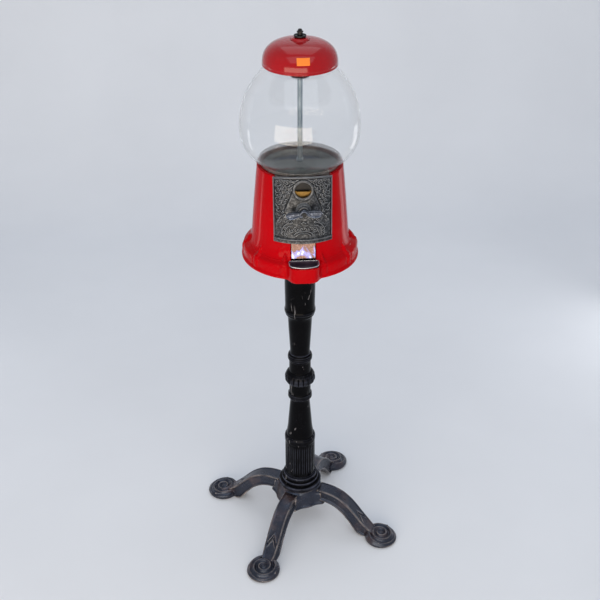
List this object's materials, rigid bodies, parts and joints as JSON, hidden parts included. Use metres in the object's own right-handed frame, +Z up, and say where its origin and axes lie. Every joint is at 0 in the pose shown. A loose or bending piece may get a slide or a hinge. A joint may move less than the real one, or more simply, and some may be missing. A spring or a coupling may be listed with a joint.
{
  "type": "gumball machine",
  "caption": "Gumball machine with a glass globe, domed lid, flared body with coin plate and butterfly handle, on a turned cast-iron pedestal with scroll feet.",
  "frame": {"origin": "on the floor, on the axis of the pedestal", "axes": "+Z up along the pedestal's axis; the coin plate and handle face -Y; +X is to the right of someone facing the machine"},
  "size_m": [0.3548, 0.3548, 0.9517],
  "materials": {
    "cast_iron": "satin, worn edges",
    "black_enamel": "gloss",
    "red_enamel": "gloss",
    "steel": "satin",
    "zinc_plate": "zinc plated, satin",
    "pewter": "antiqued, worn relief",
    "handle_metal": "polished by wear",
    "dark_steel": "blackened",
    "brass": "satin",
    "chrome": "mirror, slightly scratched",
    "grey_casting": "satin cast",
    "wheel_plastic": "satin",
    "cup_lining": "satin, dusty",
    "glass": "clear, slightly scuffed",
    "rubber": "matt",
    "paper_label": "matt paper"
  },
  "bodies": {
    "frame": {"leg_rear_right": "cast_iron", "leg_rear_left": "cast_iron", "leg_front_left": "cast_iron", "leg_front_right": "cast_iron", "base_hub": "cast_iron", "leg_bolts": "steel", "base_ring": "black_enamel", "lower_column": "black_enamel", "middle_knop": "black_enamel", "upper_column": "black_enamel", "top_plate": "black_enamel", "tie_rod": "steel", "tie_rod_washer": "steel", "tie_rod_nut": "steel", "mount_screws": "steel", "body_shell": "red_enamel", "bottom_plate": "steel", "bottom_plate_screws": "steel", "tray_cup": "cup_lining", "chute": "steel", "flap_hinge_pin": "steel", "front_plate": "pewter", "mech_frame": "steel", "mech_frame_screws": "steel", "coin_seat": "brass", "coin_gauge": "dark_steel", "pawl_pin": "steel", "pawl_spring": "steel", "hopper": "grey_casting", "hopper_platform": "grey_casting", "globe_gasket": "rubber", "globe": "glass", "tube_nut": "zinc_plate", "center_tube": "zinc_plate", "tube_washer": "zinc_plate", "center_rod": "zinc_plate", "rod_locknut": "steel"},
    "handle_set": {"handle": "handle_metal", "handle_screw": "steel", "handle_shaft": "steel", "coin_wheel": "dark_steel", "ratchet_wheel": "steel", "drive_pinion": "steel"},
    "dispensing_wheel": {"dispensing_wheel": "wheel_plastic"},
    "pawl": {"pawl": "steel"},
    "flap": {"chute_flap": "chrome"},
    "lid": {"lid": "red_enamel", "lid_washer": "dark_steel", "price_sticker": "paper_label"},
    "lid_nut": {"lid_nut": "dark_steel"}
  },
  "joints": [
    {"name": "handle_turn", "type": "hinge", "parent": "frame", "child": "handle_set", "pos_m": [0, 0, 0.694], "axis": [0, 1, 0], "continuous": true},
    {"name": "wheel_spin", "type": "hinge", "parent": "frame", "child": "dispensing_wheel", "pos_m": [0, 0, 0.716], "axis": [0, 0, 1], "continuous": true},
    {"name": "pawl_swing", "type": "hinge", "parent": "frame", "child": "pawl", "pos_m": [-0.028, -0.064, 0.6795], "axis": [0, -1, 0], "range_deg": [0, 12], "stiffness_Nm_per_rad": 0.02, "springref_deg": -17.19},
    {"name": "flap_swing", "type": "hinge", "parent": "frame", "child": "flap", "pos_m": [0, -0.0728, 0.637], "axis": [-1, 0, 0], "range_deg": [0, 45]},
    {"name": "lid_lift", "type": "slide", "parent": "frame", "child": "lid", "axis": [0, 0, 1], "range_m": [0, 0.06]},
    {"name": "lid_nut_turn", "type": "hinge", "parent": "lid", "child": "lid_nut", "pos_m": [0, 0, 0.945], "axis": [0, 0, 1], "continuous": true}
  ],
  "couplings": [
    {"joint": "wheel_spin", "follows": "handle_turn", "ratio": 0.2}
  ]
}
